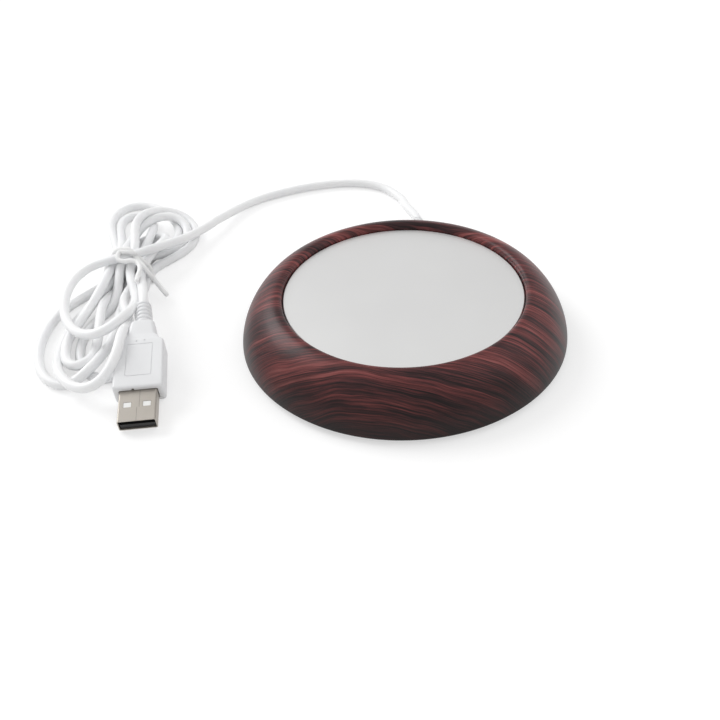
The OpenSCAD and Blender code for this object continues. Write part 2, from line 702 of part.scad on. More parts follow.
// ---- plug: built with its tip at y = 0 and its tail towards +Y, its axis on z = 0 ----
module at_plug() {
    translate(plug_at + plug_axis_lift()) rotate([0, 0, plug_turn]) rotate([plug_tilt, 0, 0]) children();
}
module plug_bar(w, h, r, y, l) {
    translate([0, y, 0]) rotate([-90, 0, 0]) linear_extrude(l) polygon(rounded(w, h, r));
}
// Half of the grip's outline from above, from its front corner to its tail
function grip_side(w, nw, r) = concat(
    arc(w / 2 - r, grip_y + r, r, -90, 0), [[w / 2, neck_y - taper_l]],
    arc(w / 2 - taper_in - back_round, neck_y - back_round, back_round, 0, back_angle),
    [[nw / 2 + shoulder_in, neck_y + shoulder_l * shoulder_share], [nw / 2, neck_y + shoulder_l]],
    arc(nw / 2 - r / 2, relief_y - r / 2, r / 2, 0, 90));
function both_sides(half) = concat(half, [for (p = backwards(half)) [-p[0], p[1]]]);
module grip_solid() {
    intersection() {
        translate([0, 0, -grip_t]) linear_extrude(2 * grip_t)
            polygon(both_sides(grip_side(grip_w, neck_w, grip_round)));
        rotate([0, -90, 0]) translate([0, 0, -grip_w]) linear_extrude(2 * grip_w)
            polygon(both_sides(grip_side(grip_t, neck_t, grip_round / 2)));
    }
}
function rib_profile(n, step) = [for (i = [0:n - 1])
    let (r = relief_r(i * step), s = relief_r((i + 1) * step))
    each [[r, i * step], [r, (i + rib_share[0]) * step],
          [s - rib_groove, (i + rib_share[1]) * step], [s - rib_groove, (i + rib_share[2]) * step]]];
function relief_r(y) = relief_d / 2 + (relief_tip_r - relief_d / 2) * y / relief_l;
module plug_body() {
    step = relief_l / (relief_ribs + rib_share[0]);
    color([0.9, 0.9, 0.9]) at_plug() difference() {
        union() {
            grip_solid();
            translate([0, relief_y - eps, 0]) rotate([-90, 0, 0]) rotate_extrude() polygon(concat(
                [[0, 0]], rib_profile(relief_ribs, step),
                [[relief_r(relief_ribs * step), relief_ribs * step],
                 [relief_tip_r, relief_l + eps], [0, relief_l + eps]]));
        }
        plug_bar(shell_w, shell_h, shell_round, grip_y - cut_over, shell_in + cut_over);
        plug_bar(core_w, core_t, shell_round, grip_y + shell_in - eps, core_l + eps);
    }
}
module plug_core() {
    color([0.85, 0.85, 0.82]) at_plug() plug_bar(core_w, core_t, shell_round, grip_y + shell_in, core_l);
}
module plug_shell() {
    inner_w = shell_w - 2 * shell_t;
    inner_h = shell_h - 2 * shell_t;
    color([0.7, 0.68, 0.65]) at_plug() difference() {
        plug_bar(shell_w, shell_h, shell_round, 0, shell_out + shell_in);
        plug_bar(inner_w, inner_h, shell_round - shell_t / 2, -eps, shell_out + shell_in + 2 * eps);
        for (s = [-1, 1])
            translate([s * window_at[0] - window_size[0] / 2, window_at[1] - window_size[1] / 2, -shell_h])
                cube([window_size[0], window_size[1], 2 * shell_h]);
    }
}
tongue_z = shell_t - shell_h / 2 + slip / 2;
tongue_l = shell_out + shell_in - tongue_front;
module contact_bars(grow) {
    for (i = [0:3])
        translate([contact_x[i] - contact_w[i] / 2 - grow, tongue_front + contact_front,
                   tongue_z + tongue_t - contact_t - grow])
            cube([contact_w[i] + 2 * grow, tongue_l - contact_back + grow, contact_t + 2 * grow]);
}
module plug_tongue() {
    color([0.07, 0.07, 0.07]) at_plug() difference() {
        translate([-tongue_w / 2, tongue_front, tongue_z]) cube([tongue_w, tongue_l, tongue_t]);
        contact_bars(contact_slip);
    }
}
module plug_contacts() {
    color([0.83, 0.68, 0.35]) at_plug() contact_bars(0);
}

top_shell();
plate_seal();
heating_plate();
heater_film();
heater_trace();
mica_disc();
insulation_pad();
clamp_plate();
clamp_screws();
thermal_cutout();
cutout_clip();
clip_rivets();
lead_red();
lead_black();
cutout_lead_in();
cutout_lead_out();
heater_lead();
splice_sleeves();
base_cover();
base_screws();
for (i = [1:4]) foot(i - 1);
cable_clamp();
cable_clamp_screws();
cord_bush();
cord_inlet();
cord_run();
cord_hank();
cord_tail();
twist_tie();
plug_body();
plug_core();
plug_shell();
plug_tongue();
plug_contacts();
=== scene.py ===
import bpy
import math
import numpy as np
from mathutils import Matrix, Vector


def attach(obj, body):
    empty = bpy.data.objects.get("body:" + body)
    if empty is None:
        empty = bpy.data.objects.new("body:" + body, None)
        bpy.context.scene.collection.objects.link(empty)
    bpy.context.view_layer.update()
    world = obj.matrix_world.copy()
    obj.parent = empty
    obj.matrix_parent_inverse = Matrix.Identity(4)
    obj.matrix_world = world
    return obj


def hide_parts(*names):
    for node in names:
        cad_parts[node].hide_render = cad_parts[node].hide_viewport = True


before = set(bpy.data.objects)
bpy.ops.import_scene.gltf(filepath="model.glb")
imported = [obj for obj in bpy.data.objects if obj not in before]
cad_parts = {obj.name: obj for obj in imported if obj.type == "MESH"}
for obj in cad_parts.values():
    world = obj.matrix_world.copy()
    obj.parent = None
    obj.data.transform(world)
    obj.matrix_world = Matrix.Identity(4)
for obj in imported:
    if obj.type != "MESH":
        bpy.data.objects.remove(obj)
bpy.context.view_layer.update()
mm = 0.001
print("frame loaded:", len(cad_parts), "nodes")

# millimetres and degrees; the clip in metres
camera = dict(place=(25.17, -258.42, 198.35), heading=9, down=38.85, roll=-3.42, lens=47.5, sensor=36,
              clip=(0.01, 20))


def makeCamera():
    data = bpy.data.cameras.new("camera")
    data.lens, data.sensor_width = camera["lens"], camera["sensor"]
    data.clip_start, data.clip_end = camera["clip"]
    eye = bpy.data.objects.new("camera", data)
    bpy.context.collection.objects.link(eye)
    eye.matrix_world = (Matrix.Translation(Vector(camera["place"]) * mm)
                        @ Matrix.Rotation(math.radians(camera["heading"]), 4, "Z")
                        @ Matrix.Rotation(math.radians(90 - camera["down"]), 4, "X")
                        @ Matrix.Rotation(math.radians(camera["roll"]), 4, "Z"))
    bpy.context.scene.camera = eye


makeCamera()
print("camera set")


def volumeOf(points, faces):
    # signed volume: a sixth of the sum of a . (b x c) over each face's fan of triangles
    total = 0.0
    for k in range(1, faces.shape[1] - 1):
        a, b, c = points[faces[:, 0]], points[faces[:, k]], points[faces[:, k + 1]]
        total += np.einsum("ij,ij->", a, np.cross(b, c))
    return total / 6


def gridFaces(rows, columns, closedRows):
    # quads between neighbouring rows; each row is a closed ring of columns
    index = np.arange(rows * columns).reshape(rows, columns)
    low = index if closedRows else index[:-1]
    high = np.roll(index, -1, axis=0) if closedRows else index[1:]
    return np.stack([low, np.roll(low, -1, axis=1), np.roll(high, -1, axis=1), high], -1).reshape(-1, 4)


def shell(grid, closedRows=False):
    # a grid of rings (rows, columns, 3) as points and faces; open ends get a fan to the ring's middle
    rows, columns = grid.shape[:2]
    points = grid.reshape(-1, 3)
    quads = gridFaces(rows, columns, closedRows)
    faces = [quads]
    if not closedRows:
        ends = np.stack([grid[0].mean(0), grid[-1].mean(0)])
        points = np.concatenate([points, ends])
        first, last = np.arange(columns), np.arange(columns) + (rows - 1) * columns
        faces.append(np.stack([np.roll(first, -1), first, np.full(columns, rows * columns)], -1))
        faces.append(np.stack([last, np.roll(last, -1), np.full(columns, rows * columns + 1)], -1))
    if sum(volumeOf(points, f) for f in faces) < 0:
        faces = [f[:, ::-1] for f in faces]
    return points, faces


def meshPiece(name, shells, sharpAngle):
    # one object at the origin from one or more closed shells, given in millimetres
    allPoints, allFaces, start = [], [], 0
    for points, faces in shells:
        allPoints.append(points)
        for f in faces:
            allFaces += (f + start).tolist()
        start += len(points)
    mesh = bpy.data.meshes.new(name)
    mesh.from_pydata((np.concatenate(allPoints) * mm).tolist(), [], allFaces)
    mesh.polygons.foreach_set("use_smooth", np.ones(len(mesh.polygons), bool))
    mesh.update()
    if sharpAngle:
        mesh.set_sharp_from_angle(angle=math.radians(sharpAngle))
    piece = bpy.data.objects.new(name, mesh)
    bpy.context.collection.objects.link(piece)
    return piece


def unitRows(v):
    return v / np.maximum(np.linalg.norm(v, axis=-1, keepdims=True), 1e-12)


def sectionFrames(path):
    # side and up directions along a path, each carried on from the last with the least turn
    ahead = unitRows(np.gradient(path, axis=0))
    side = np.cross(ahead[0], (0, 0, 1) if abs(ahead[0][2]) < 0.9 else (1, 0, 0))
    sides = []
    for t in ahead:
        side = side - side.dot(t) * t
        side = side / np.linalg.norm(side)
        sides.append(side)
    sides = np.array(sides)
    return sides, np.cross(ahead, sides)


def tubeGrid(path, radii, columns=16):
    # rings of the given radii round a path: point + r (cos a side + sin a up)
    sides, ups = sectionFrames(path)
    a = np.linspace(0, 2 * np.pi, columns, endpoint=False)
    ring = np.cos(a)[None, :, None] * sides[:, None] + np.sin(a)[None, :, None] * ups[:, None]
    return path[:, None] + np.broadcast_to(radii, len(path))[:, None, None] * ring


def alongCurve(points, perSpan=24):
    # Catmull-Rom spline through the points
    q = np.concatenate([[2 * points[0] - points[1]], points, [2 * points[-1] - points[-2]]])
    t = np.linspace(0, 1, perSpan, endpoint=False)[:, None]
    spans = [0.5 * (2 * q[i + 1] + (q[i + 2] - q[i]) * t
                    + (2 * q[i] - 5 * q[i + 1] + 4 * q[i + 2] - q[i + 3]) * t ** 2
                    + (3 * q[i + 1] - q[i] - 3 * q[i + 2] + q[i + 3]) * t ** 3)
             for i in range(len(points) - 1)]
    return np.concatenate(spans + [points[-1:]])


def evenly(points, step):
    # the same line with points a fixed step apart
    way = np.concatenate([[0], np.cumsum(np.linalg.norm(np.diff(points, axis=0), axis=1))])
    at = np.linspace(0, way[-1], int(round(way[-1] / step)) + 1)
    return np.stack([np.interp(at, way, points[:, k]) for k in range(3)], 1)


def lengthOf(points):
    return np.linalg.norm(np.diff(points, axis=0), axis=1).sum()


# tip: lowest point of the metal shell's front, on its middle line; turn and tilt of the plug's axis, degrees
plug = dict(tip=(-77.8, -53.6, 0.3), turn=12, tilt=11, shellH=4.5, length=51)
turnAngle, tiltAngle = math.radians(plug["turn"]), math.radians(plug["tilt"])
plugBack = np.array([-math.sin(turnAngle) * math.cos(tiltAngle), math.cos(turnAngle) * math.cos(tiltAngle),
                     math.sin(tiltAngle)])
plugUp = np.array([math.sin(turnAngle) * math.sin(tiltAngle), -math.cos(turnAngle) * math.sin(tiltAngle),
                   math.cos(tiltAngle)])
plugSide = np.cross(plugBack, plugUp)
plugAxis = np.array(plug["tip"]) + plug["shellH"] / 2 * plugUp


def plugPoint(y, x=0, z=0):
    # points of the plug, one or an array of them: y back along its axis, x to its side, z up from the axis
    outer = np.multiply.outer
    return plugAxis + outer(y, plugBack) + outer(x, plugSide) + outer(z, plugUp)


cord = dict(
    diameter=3.4, length=1.358,             # millimetres; the length in metres
    step=1.6, fineStep=0.8, columns=20,     # spacing while it settles and in the finished mesh
    # route from the bush to the tied-up cord, over its upper lobes to the tie, and at last up to the plug
    run=[[0, 63.6, 6.5], [-0.4, 66.6, 6.5], [-2.8, 72.5, 5.6], [-5.6, 79.5, 4.2], [-8, 87.5, 2.7],
         [-11.6, 93.6, 1.9], [-16.2, 98.3, 1.8], [-22, 101.2, 1.8], [-28.4, 102.4, 1.8], [-36, 102, 1.8],
         [-44.4, 99.9, 1.8], [-52.6, 96.7, 1.8], [-60.6, 92.4, 1.8], [-67, 88, 1.8], [-72.2, 82.5, 2],
         [-76.8, 75.6, 2.5], [-80.6, 68, 3.4], [-83.8, 60.6, 4.5]],
    over=[[-86.8, 54, 5.6], [-90.4, 46.8, 7], [-93.8, 40.6, 8.5], [-97.8, 34.8, 10], [-101, 29.4, 11]],
    tail=[[-99, 22, 7], [-96.4, 14.5, 9.4], [-93.8, 8, 11.4], [-91.6, 3.2, 12.6]],
    last=((3, -0.8), (0, -0.5)))            # past the relief's end along the plug's axis, and to its side
tie = dict(place=(-107, 30), turn=15, start=(0.5, 11.4, -6.8))
# Each turn of the tied-up cord, below and above the tie by turns: either part of a tilted ellipse (middle,
# half axes, tilt, first and last angle, heights along it), with the points that lead into it, or points of
# its own. Then: where it next passes the tie (across, height, along).
loops = [
    dict(middle=(-107.2, 1.7), a=24.3, b=12.9, tilt=116, turn=(-20, 290),
         z=(10.5, 8, 7.5, 9, 11.5, 11.5, 10), then=(1.7, 7.6)),
    dict(points=[[-103.5, 34.5, 4.5], [-100.9, 37.5, 2.6], [-98.8, 39.6, 1.9], [-96.8, 41.9, 1.8],
                 [-93.4, 46.7, 1.8], [-91, 51, 1.8], [-90.8, 55.5, 1.8], [-92.2, 60, 2.2],
                 [-95, 64, 3.8], [-98.6, 66.2, 5.2], [-102.2, 66, 5.2], [-105.6, 63.8, 5.2],
                 [-108.2, 59.5, 5.2], [-109.8, 53.5, 5.2], [-110, 47, 5.4], [-109.4, 41, 6],
                 [-109, 36, 6.8]], then=(-1.7, 7.6)),
    dict(middle=(-99.5, -13), a=22, b=10.5, tilt=102, turn=(20, 320), z=(1.8, 1.8, 1.8),
         then=(9.1, 1.8, -2)),
    dict(into=[[-94.2, 35.6, 1.8], [-91, 42.1, 1.8], [-87.9, 47.2, 1.8]],
         middle=(-99, 51.5), a=18.5, b=11.5, tilt=92, turn=(-80, 120), z=(1.8, 3, 5.2, 8.5, 8.5),
         then=(0, 4.8)),
    dict(middle=(-102.8, -18.1), a=26.1, b=12.6, tilt=106, turn=(10, 320),
         z=(4, 3.3, 3, 3, 3.6, 4.5, 6.5, 10.5, 13.5, 9.5, 8), then=(5.3, 2)),
    dict(into=[[-102, 35.5, 1.8], [-101.6, 41.5, 1.8], [-98.8, 45.5, 1.8], [-96, 49, 1.8]],
         middle=(-109.7, 59.6), a=23.3, b=12.8, tilt=122, turn=(-120, 100), z=(1.8, 1.7, 1.8),
         then=(-5.1, 2)),
    dict(middle=(-111.7, -11.4), a=26.3, b=13, tilt=99, turn=(10, 310),
         z=(1.8, 1.7, 1.7, 1.8, 3, 5.1, 5, 4), then=(1.7, 2)),
    dict(points=[[-105.8, 36, 3.6], [-105, 40.8, 4.5], [-103.6, 45, 5], [-103.7, 49.2, 5.2],
                 [-104.8, 54.5, 5.2], [-106.4, 60.5, 4], [-109, 66, 2.4], [-112.5, 72.5, 1.8],
                 [-117, 78, 1.8], [-122, 79, 1.8], [-123.5, 73, 2.2], [-122, 66, 2.7], [-120.2, 60, 3],
                 [-118, 54.4, 3.4], [-115.8, 49.1, 3.8], [-114.3, 43.5, 4.2], [-112.6, 37.5, 4.6]],
         then=(-3.4, 4.8)),
    dict(points=[[-110.2, 23, 4.8], [-109.9, 15.5, 4.6], [-110.2, 8, 4.5], [-112, 0, 4.5],
                 [-114.3, -8, 4.5], [-114.6, -15, 4.5], [-112.3, -23.5, 4.5], [-109.5, -32.5, 4.5],
                 [-105.5, -39, 4.6], [-100.5, -39.5, 5], [-99, -32, 5.2], [-101.6, -23, 5],
                 [-103.6, -15, 4.8], [-105.6, -6.5, 4.8], [-107, 3, 5], [-108, 13, 4.4],
                 [-108.3, 21.5, 3]], then=(-1.7, 2)),
    dict(points=[[-109.6, 36, 1.8], [-110.9, 43, 1.8], [-110.9, 49.5, 1.8], [-109.9, 54.5, 1.8],
                 [-107.6, 58, 1.8], [-104.6, 60, 2], [-101.4, 59.6, 3.2], [-98.8, 57.6, 4.6],
                 [-97.2, 54.2, 5.2], [-96.6, 50.2, 5.2], [-97, 46, 5.2], [-98.2, 41.6, 5.2],
                 [-99.6, 37, 5.1]], then=(6.9, 5))]
tieAngle = math.radians(tie["turn"])
tieAcross = np.array([math.cos(tieAngle), math.sin(tieAngle), 0])
tieAlong = np.array([-math.sin(tieAngle), math.cos(tieAngle), 0])


def tiePoint(across, z, along=0):
    return np.array([*tie["place"], 0]) + across * tieAcross + along * tieAlong + (0, 0, z)


def loopPoints(loop, count=13):
    # ellipse: middle + a cos u along the tilt + b sin u across it, the height evenly through the z values
    if "points" in loop:
        return np.array(loop["points"], float)
    u = np.radians(np.linspace(*loop["turn"], count))
    x, y, t = loop["a"] * np.cos(u), loop["b"] * np.sin(u), math.radians(loop["tilt"])
    z = np.interp(np.linspace(0, 1, count), np.linspace(0, 1, len(loop["z"])), loop["z"])
    turn = np.stack([loop["middle"][0] + x * math.cos(t) - y * math.sin(t),
                     loop["middle"][1] + x * math.sin(t) + y * math.cos(t), z], 1)
    return np.concatenate([np.array(loop.get("into", np.zeros((0, 3))), float), turn])


def bellWeights(sigma):
    # weights of a bell curve of the given width in points, which add up to one
    x = np.arange(-int(3 * sigma) - 1, int(3 * sigma) + 2)
    w = np.exp(-0.5 * (x / sigma) ** 2)
    return w / w.sum()


def smoothed(line, weights, mirrored=True):
    # each point as a bell-shaped mean of its neighbours; past the ends the line is mirrored or zero
    m = len(weights) // 2
    if mirrored:
        padded = np.concatenate([2 * line[:1] - line[m:0:-1], line, 2 * line[-1:] - line[-2:-m - 2:-1]])
    else:
        padded = np.pad(line, ((m, m), (0, 0)))
    return np.stack([np.convolve(padded[:, k], weights, "valid") for k in range(line.shape[1])], 1)


# half width and half height along the plug's axis that the cord stays out of, between the two ends
plugRoom = dict(at=[-3, 0, 11.8, 11.9, 31, 33, 35, 41.2, 41.3, 51, 53],
                wide=[6, 6, 6, 8, 7.8, 6.5, 4.9, 4.1, 2.9, 2.45, 1.7],
                high=[2.25, 2.25, 2.25, 3.9, 3.9, 3.7, 3.5, 3.4, 2.9, 2.45, 1.7],
                ends=(-3, 52), largestMove=0.6)


def outOfPlug(points, clear):
    # moves points out of the plug's rounded section, (x / wide)^4 + (z / high)^4 = 1, straight away from it
    room = plugRoom
    away = points - plugAxis
    y, x, z = away @ plugBack, away @ plugSide, away @ plugUp
    wide = np.interp(y, room["at"], room["wide"]) + clear
    high = np.interp(y, room["at"], room["high"]) + clear
    power = (x / wide) ** 4 + (z / high) ** 4
    depth = power ** 0.25
    hit = (y > room["ends"][0]) & (y < room["ends"][1]) & (depth < 1) & (depth > 1e-6)
    gx = np.sign(x) * np.abs(x / wide) ** 3 / wide
    gz = np.sign(z) * np.abs(z / high) ** 3 / high
    g = np.sqrt(gx ** 2 + gz ** 2) + 1e-9
    slope = np.maximum(g * np.maximum(power, 1e-9) ** -0.75, 1e-6)
    move = np.minimum((1 - depth) / slope, room["largestMove"])
    out = points.copy()
    out[hit] += (move[:, None] * ((gx / g)[:, None] * plugSide + (gz / g)[:, None] * plugUp))[hit]
    return out


# each round's fall and pull back to the start; least radius of a bend, looked at over spans of points; in
# diameters, the least gap and the stretch to either side that is skipped; pairs nearer than the margin are
# looked up again every few rounds; widths of the bell curves; shares of a move; the tie, half its width, its
# top and reach; how many of the last points may enter the plug
settle = dict(rounds=400, drop=0.008, hold=0.03, holdHeight=0.008, bend=7, bendSpans=(2, 4), apart=1.02,
              ownStretch=3.2, margin=2.5, refresh=5, fairBlur=2.4, easeBlur=1.2, pushBlur=2.6, ease=0.6,
              spread=1.6, atOnce=0.15, halfTie=9.6, topOfTie=11.6, tieReach=1.6, plugEnd=10)


def easedBends(line, w):
    # a stretch that sags further from its chord than a circle of the least radius is drawn in
    blur = bellWeights(settle["easeBlur"])
    for s in settle["bendSpans"]:
        sag = (line[2 * s:] + line[:-2 * s]) / 2 - line[s:-s]
        half = np.linalg.norm(line[2 * s:] - line[:-2 * s], axis=1) / 2
        deep = np.linalg.norm(sag, axis=1)
        share = np.clip((deep - half ** 2 / (2 * settle["bend"])) / np.maximum(deep, 1e-6), 0, 1)
        move = np.zeros_like(line)
        move[s:-s] = sag * share[:, None]
        line = line + smoothed(move, blur, False) * w * settle["ease"]
    return line


def pushedApart(line, free, first, second):
    # strands that lie too near share the push between them, each as far as it is free
    apart = cord["diameter"] * settle["apart"]
    between = line[second] - line[first]
    gap = np.linalg.norm(between, axis=1)
    hit = gap < apart
    i, j = first[hit], second[hit]
    push = ((apart - gap[hit]) / np.maximum(gap[hit], 1e-6))[:, None] * between[hit]
    share = np.maximum(free[i] + free[j], 1e-9)[:, None]
    move, times = np.zeros_like(line), np.zeros(len(line))
    np.add.at(move, i, -push * free[i][:, None] / share)
    np.add.at(move, j, push * free[j][:, None] / share)
    np.add.at(times, np.concatenate([i, j]), 1)
    return line + move / np.maximum(times, 1)[:, None]


def heldByTie(points):
    # points that pass the tie stay within its width and under its top
    away = points - tiePoint(0, 0)
    across, along = away @ tieAcross, away @ tieAlong
    inTie = np.abs(along) < settle["tieReach"]
    limit = np.clip(across, -settle["halfTie"], settle["halfTie"])
    points[inTie] += ((limit - across)[:, None] * tieAcross)[inTie]
    points[inTie, 2] = np.minimum(points[inTie, 2], settle["topOfTie"])
    return points


def settled(line, free):
    # The cord is let settle: kinks and tight bends are eased, strands push each other a diameter apart,
    # and nothing sinks into the floor or the plug or leaves the tie. The pushes are spread by a bell curve.
    radius, start = cord["diameter"] / 2, line.copy()
    index, w = np.arange(len(line)), free[:, None]
    far = int(math.ceil(settle["ownStretch"] * cord["diameter"] / cord["step"]))
    fair, spread = bellWeights(settle["fairBlur"]), bellWeights(settle["pushBlur"])
    hold, last = (settle["hold"], settle["hold"], settle["holdHeight"]), -settle["plugEnd"]
    for turn in range(settle["rounds"]):
        if turn % settle["refresh"] == 0:
            gap = np.linalg.norm(line[:, None] - line[None], axis=2)
            near = gap < cord["diameter"] + settle["margin"]
            first, second = np.nonzero(near & (index[None] - index[:, None] > far))
        rough = smoothed(line, fair) - line
        line = line + (rough - smoothed(rough, fair)) * w * settle["ease"]
        line = easedBends(line, w)
        line = line + (start - line) * w * hold - w * (0, 0, settle["drop"])
        want = heldByTie(pushedApart(line, free, first, second))
        want[:, 2] = np.maximum(want[:, 2], radius)
        want[:last] = outOfPlug(want[:last], radius)
        move = (want - line) * w
        line = line + smoothed(move, spread, False) * settle["spread"] * w + move * settle["atOnce"]
        line[free > 0, 2] = np.maximum(line[free > 0, 2], radius)
    return line


# in points: how soft the corners get, how far the ends stay fixed, and over how many the rest comes free
rounding = dict(blur=2.4, fixedStart=2, fixedEnd=4, startBlend=12, endBlend=8, freeOver=9)


def cordLine():
    # the run, the loops joined through the tie and the tail, rounded off and then settled; the run and the
    # last points stay where they are
    r = rounding
    parts = [np.array(cord["run"], float), np.array(cord["over"], float), tiePoint(*tie["start"])[None]]
    for loop in loops:
        parts += [loopPoints(loop), tiePoint(*loop["then"])[None]]
    parts += [np.array(cord["tail"], float),
              np.stack([plugPoint(plug["length"] + y, x) for y, x in cord["last"]])]
    line = evenly(alongCurve(np.concatenate(parts)), cord["step"])
    count = len(line)
    kept = int(lengthOf(evenly(alongCurve(parts[0]), 0.5)) / cord["step"]) - r["fixedStart"]
    place, blur = np.arange(count), bellWeights(r["blur"])
    fromStart, fromEnd = place - kept, count - r["fixedEnd"] - place
    soft = smoothed(line, blur)
    soft = soft + smoothed(line - soft, blur)
    blend = np.clip(fromStart / r["startBlend"], 0, 1) * np.clip(fromEnd / r["endBlend"], 0, 1)
    blend = (blend * blend * (3 - 2 * blend))[:, None]
    free = np.clip((fromStart + 1) / r["freeOver"], 0, 1) * np.clip(fromEnd / r["freeOver"], 0, 1)
    return settled(line * (1 - blend) + soft * blend, free)


cordPath = cordLine()
fine = evenly(alongCurve(cordPath, 4), cord["fineStep"])
cordTube = shell(tubeGrid(fine, cord["diameter"] / 2, cord["columns"]))
cordPiece = meshPiece("cord", [cordTube], sharpAngle=0)
print("cord laid:", round(float(lengthOf(fine)), 1), "mm")

# radii and heights of the ring's profile, and the notch at the back that the bush sits in
ring = dict(crest=42.3, belly=54.9, bellyZ=2.2, top=19.2, dome=1.22, tuck=0.9, lip=1.2, lipRound=0.25,
            inner=52.7, rimRound=1.95, bore=40.35, ledge=36, ledgeZ=15.1, ledgeT=2, collar=42.35, wall=2.2,
            exitZ=6.5, notch=3.2, notchY=(50.5, 60), columns=288, sharp=40)
cutterSharp = 30


def hill(r0, r1, z0, z1, power, count):
    # quarter of a rounded hill: radius falls with cos, height rises with sin, both to one power
    t = np.linspace(0, np.pi / 2, count)
    return np.stack([r0 + (r1 - r0) * np.cos(t) ** power, z0 + (z1 - z0) * np.sin(t) ** power], 1)


def arc(x, y, r, first, last, count):
    # part of a circle: middle + r (cos a, sin a), the angles in degrees
    a = np.radians(np.linspace(first, last, count))
    return np.stack([x + r * np.cos(a), y + r * np.sin(a)], 1)


def lathe(profile, columns):
    # a profile of radius and height turned round the upright axis
    a = np.linspace(0, 2 * np.pi, columns, endpoint=False)
    r, z = profile[:, 0][:, None], profile[:, 1][:, None]
    return np.stack([r * np.cos(a), r * np.sin(a), np.broadcast_to(z, (len(profile), columns))], -1)


def cutWith(piece, cutter):
    # takes the cutter out of the piece for good
    change = piece.modifiers.new("cut", "BOOLEAN")
    change.object, change.operation, change.solver = cutter, "DIFFERENCE", "EXACT"
    result = bpy.data.meshes.new_from_object(piece.evaluated_get(bpy.context.evaluated_depsgraph_get()))
    piece.modifiers.clear()
    old = piece.data
    name = old.name
    piece.data = result
    bpy.data.meshes.remove(old)
    result.name = name
    bpy.data.objects.remove(cutter)


def makeRing():
    r = ring
    profile = np.concatenate([
        arc(r["belly"] - r["tuck"], r["lip"] + r["lipRound"], r["lipRound"], -90, -45, 4),
        hill(r["crest"], r["belly"], r["bellyZ"], r["top"], r["dome"], 56)[:-1],
        arc(r["crest"], r["top"] - r["rimRound"], r["rimRound"], 90, 180, 14),
        [[r["bore"], r["ledgeZ"]], [r["ledge"], r["ledgeZ"]], [r["ledge"], r["ledgeZ"] - r["ledgeT"]],
         [r["collar"], r["ledgeZ"] - r["ledgeT"]]],
        hill(r["collar"], r["inner"], r["bellyZ"], r["top"] - r["wall"], r["dome"], 20)[::-1],
        [[r["inner"], r["lip"]]]])
    piece = meshPiece("ring", [shell(lathe(profile, r["columns"]), closedRows=True)], r["sharp"])
    # the cord's way out: an arch over a slot that runs down to the lip
    arch = np.concatenate([arc(0, r["exitZ"], r["notch"], 0, 180, 25),
                           [[-r["notch"], -1], [r["notch"], -1]]])
    ends = [np.stack([arch[:, 0], np.full(len(arch), y), arch[:, 1]], -1) for y in r["notchY"]]
    cutWith(piece, meshPiece("archCutter", [shell(np.stack(ends))], cutterSharp))
    piece.data.set_sharp_from_angle(angle=math.radians(r["sharp"]))
    return piece


ringPiece = makeRing()
print("ring made")

# Distances from the centre towards the back, and radii round the cord. Rows of a rib: which of its three
# radii, what is added to it, and the share of a rib's length.
bush = dict(exitZ=6.5, flange=47.7, flangeT=2, neck=3, collar=55, collarT=1.6, lip=4.1, end=63.6, tip=2.5,
            bore=1.8, bevel=0.3, bevelBack=0.4, ribs=3, ribDrop=0.5, ribMiddle=0.55, plainPart=0.4,
            ribRows=((0, -0.1, 0.06), (0, 0, 0.16), (1, 0, 0.5), (1, -0.1, 0.6), (1, -0.6, 0.68),
                     (2, -0.6, 0.94)),
            tipPart=0.35, tipBevel=0.2, columns=48, sharp=50)


def makeBush():
    # rows of radius and distance: the flange inside the wall, the neck through it, the collar and the ribs
    b = bush
    first = b["collar"] + b["collarT"]
    step = (b["end"] - first) / (b["ribs"] + b["plainPart"])
    rows = [[b["bore"], b["flange"]], [b["lip"], b["flange"]], [b["lip"], b["flange"] + b["flangeT"]],
            [b["neck"], b["flange"] + b["flangeT"]], [b["neck"], b["collar"]],
            [b["lip"] - b["bevel"], b["collar"]], [b["lip"], b["collar"] + b["bevel"]],
            [b["lip"], first - b["bevelBack"]], [b["lip"] - b["bevel"], first]]
    for i in range(b["ribs"]):
        y = first + i * step
        radii = np.interp([y, y + b["ribMiddle"] * step, y + step], [first, b["end"]],
                          [b["lip"] - b["ribDrop"], b["tip"]])
        rows += [[radii[k] + more, y + share * step] for k, more, share in b["ribRows"]]
    rows += [[b["tip"], b["end"] - b["tipPart"] * step], [b["tip"], b["end"] - b["tipBevel"]],
             [b["tip"] - b["tipBevel"], b["end"]], [b["bore"], b["end"]]]
    turned = lathe(np.array(rows), b["columns"])
    # the lathe's upright axis laid along +Y at the height of the exit
    grid = np.stack([turned[..., 0], turned[..., 2], turned[..., 1] + b["exitZ"]], -1)
    return meshPiece("cordBush", [shell(grid, closedRows=True)], b["sharp"])


bushPiece = makeBush()
print("bush made")

# Half sizes, and distances along the plug's axis. A rounding takes only a part of its depth off the top and
# bottom (frontFlat, backFlat). Rows of a rib: its first or last radius, what is taken from it, and the share
# of a rib's length.
grip = dict(front=11.9, frontRound=1.1, frontFlat=0.6, wide=8.05, wideBack=7.7, high=3.9, edge=0.85,
            bodyStart=14, backStart=30.6, backRound=2.1, backFlat=0.12, backTurn=(0.15, math.radians(78)),
            shoulder=(33, 35), shoulderOut=1.1, shoulderUp=0.25, shoulderEdge=0.6,
            neck=(4.9, 3.9), neckRows=(36.5, 38, 39.5), neckLast=0.9, neckHigh=3.4, neckEdge=1.5,
            neckRound=0.7, neckEnd=41.2, reliefD=5.9, reliefTip=2.45, ribs=5, plainPart=0.5,
            ribRows=((0, 0.4, 0.02), (0, 0.1, 0.08), (0, 0, 0.18), (0, 0, 0.52), (0, 0.12, 0.62),
                     (1, 0.4, 0.70), (1, 0.4, 0.94)),
            tipPart=0.45, tipBevel=0.25, lean=0.005, columns=13, sharp=32)
